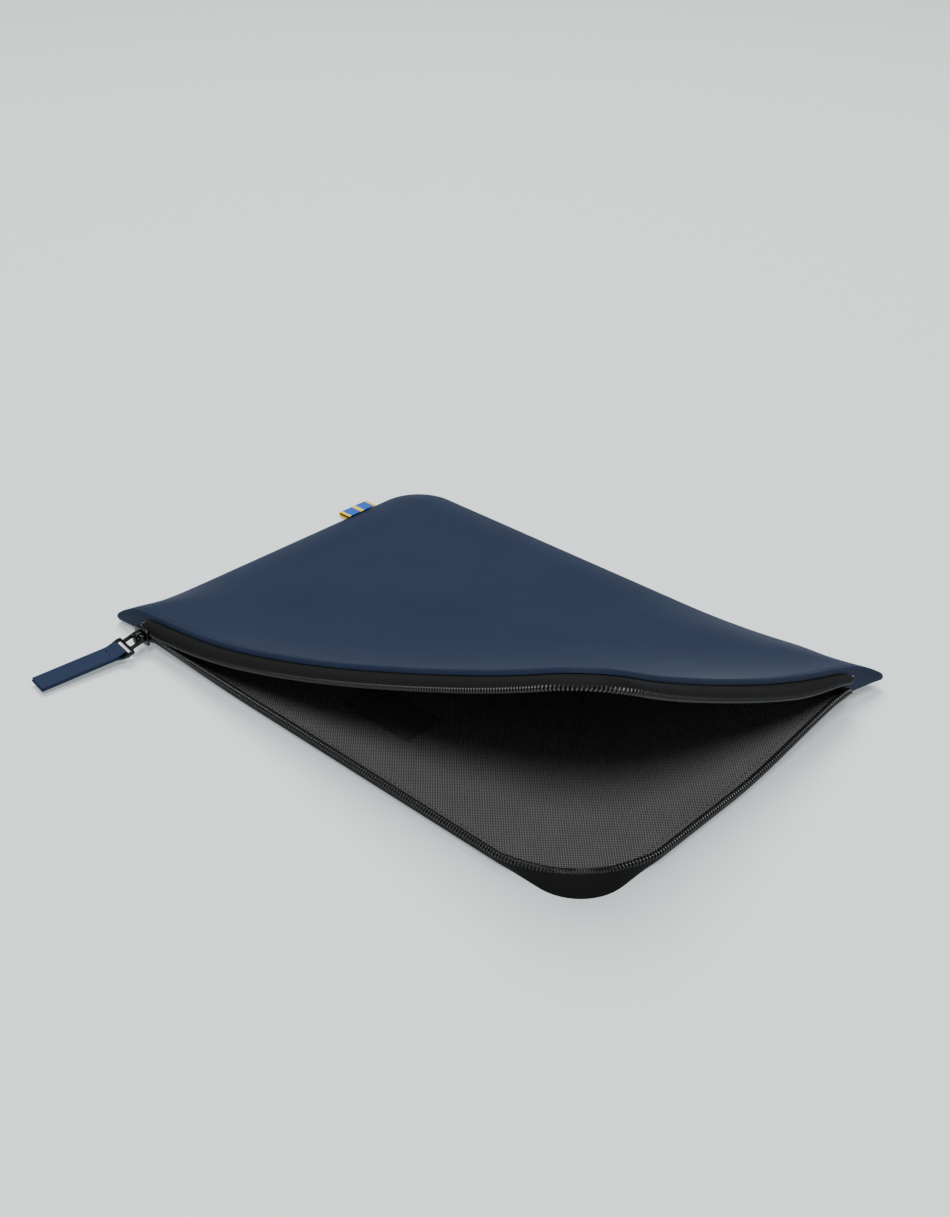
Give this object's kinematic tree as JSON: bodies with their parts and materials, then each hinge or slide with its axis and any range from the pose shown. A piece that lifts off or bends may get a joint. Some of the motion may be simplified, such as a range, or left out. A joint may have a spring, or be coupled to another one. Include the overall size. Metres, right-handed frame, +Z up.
{
  "type": "laptop sleeve",
  "caption": "Padded zip-up sleeve for a laptop, lying flat with its top panel lifted at one corner, with a slider, a ring link and a strap pull.",
  "frame": {"origin": "middle of the bottom face, in the plane that the sleeve lies on", "axes": "+X along the long sides, towards the rounded zipped corner, +Y along the short sides, towards the closed long side, +Z up"},
  "size_m": [0.36, 0.3076, 0.1019],
  "materials": {
    "foam": "closed-cell foam",
    "navy_fabric": "matte coated fabric",
    "lining_canvas": "coarse charcoal canvas",
    "zip_tape": "black satin woven tape",
    "zip_coil": "black nylon coil",
    "gunmetal": "dark gun-metal plating",
    "strap_rivet": "dark rivet",
    "navy_strap": "matte navy strap",
    "black_label": "blank black woven label",
    "black_thread": "sewing thread",
    "blue_ribbon": "blue ribbon with yellow stripes"
  },
  "bodies": {
    "sleeve": {"back_edge_wall": "navy_fabric", "bottom_foam": "foam", "bottom_lining": "lining_canvas", "bottom_outer_panel": "navy_fabric", "corner_edge_wall": "navy_fabric", "inner_label": "black_label", "label_stitching": "black_thread", "left_corner_tab": "navy_fabric", "left_edge_wall": "navy_fabric", "lower_zip_coil": "zip_coil", "lower_zip_tape": "zip_tape", "ribbon_loop": "blue_ribbon", "right_corner_tab": "navy_fabric", "top_foam_rear": "foam", "top_lining_rear": "lining_canvas", "top_outer_rear": "navy_fabric", "upper_zip_coil_rear": "zip_coil", "upper_zip_tape_rear": "zip_tape", "zip_end_stop": "zip_coil", "zip_start_stop": "zip_coil"},
    "flap_mid": {"top_foam_mid": "foam", "top_lining_mid": "lining_canvas", "top_outer_mid": "navy_fabric", "upper_zip_coil_mid": "zip_coil", "upper_zip_tape_mid": "zip_tape"},
    "flap_front": {"top_foam_front": "foam", "top_lining_front": "lining_canvas", "top_outer_front": "navy_fabric", "upper_zip_coil_front": "zip_coil", "upper_zip_tape_front": "zip_tape"},
    "flap_tip": {"top_foam_tip": "foam", "top_lining_tip": "lining_canvas", "top_outer_tip": "navy_fabric", "upper_zip_coil_tip": "zip_coil", "upper_zip_tape_tip": "zip_tape"},
    "slider": {"slider_body": "gunmetal", "slider_bridge": "gunmetal"},
    "link": {"pull_link": "gunmetal"},
    "strap": {"pull_strap": "navy_strap", "strap_rivets": "strap_rivet"}
  },
  "joints": [
    {"name": "slider_travel", "type": "slide", "parent": "sleeve", "child": "slider", "axis": [1, 0, 0], "range_m": [0, 0.276], "deforming": ["upper_zip_coil_mid", "upper_zip_tape_mid"]},
    {"name": "flap_fold", "type": "hinge", "parent": "sleeve", "child": "flap_mid", "pos_m": [0.01538, -0.01843, 0.02], "axis": [-0.7677, -0.6408, 0], "range_deg": [-24, 0]},
    {"name": "flap_fold_back", "type": "hinge", "parent": "flap_mid", "child": "flap_front", "pos_m": [0.04699, -0.0563, 0.04196], "axis": [-0.7677, -0.6408, 0], "range_deg": [0, 60]},
    {"name": "flap_curl", "type": "hinge", "parent": "flap_front", "child": "flap_tip", "pos_m": [0.0745, -0.08926, 0.06108], "axis": [-0.7677, -0.6408, 0], "range_deg": [-14, 0]},
    {"name": "link_swing", "type": "hinge", "parent": "slider", "child": "link", "pos_m": [-0.138, -0.1285, 0.01], "axis": [-0.9903, 0.1392, 0], "range_deg": [0, 100]},
    {"name": "strap_swing", "type": "hinge", "parent": "link", "child": "strap", "pos_m": [-0.13964, -0.14018, 0.00617], "axis": [-0.9903, 0.1392, 0], "range_deg": [0, 80]}
  ],
  "couplings": [
    {"joint": "flap_fold", "follows": "slider_travel", "rad_per_m": -1.5177},
    {"joint": "flap_curl", "follows": "slider_travel", "rad_per_m": -0.8853}
  ]
}
